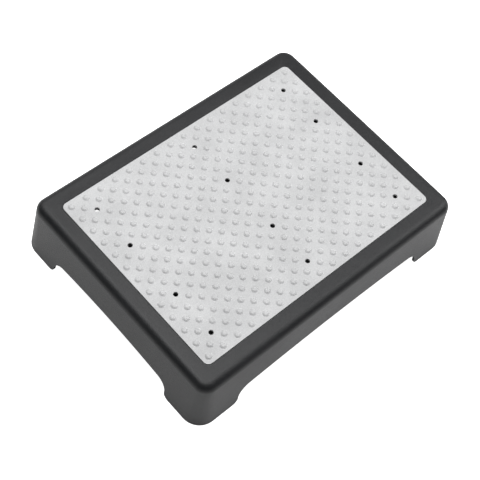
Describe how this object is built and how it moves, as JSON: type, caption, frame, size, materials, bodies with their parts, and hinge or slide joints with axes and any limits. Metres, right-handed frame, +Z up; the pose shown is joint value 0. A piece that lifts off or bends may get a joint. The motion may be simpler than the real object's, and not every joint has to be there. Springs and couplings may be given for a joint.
{
  "type": "half step",
  "caption": "Low rectangular plastic step with rounded shoulders, arched openings on all four sides, corner legs and a studded rubber tread mat with drain holes.",
  "frame": {"origin": "on the floor, under the middle of the step", "axes": "+X along the long side, +Y from the front to the back, +Z up"},
  "size_m": [0.5, 0.38, 0.1],
  "materials": {
    "body_plastic": "fine moulded texture, semi-matte charcoal black",
    "mat_rubber": "light grey, fine grain, matte",
    "pad_rubber": "black, matte",
    "screw_steel": "zinc plated"
  },
  "bodies": {
    "root": {"step_body": "body_plastic", "tread_mat": "mat_rubber", "foot_front_left": "pad_rubber", "foot_front_right": "pad_rubber", "foot_back_left": "pad_rubber", "foot_back_right": "pad_rubber", "foot_screws": "screw_steel"}
  },
  "joints": []
}
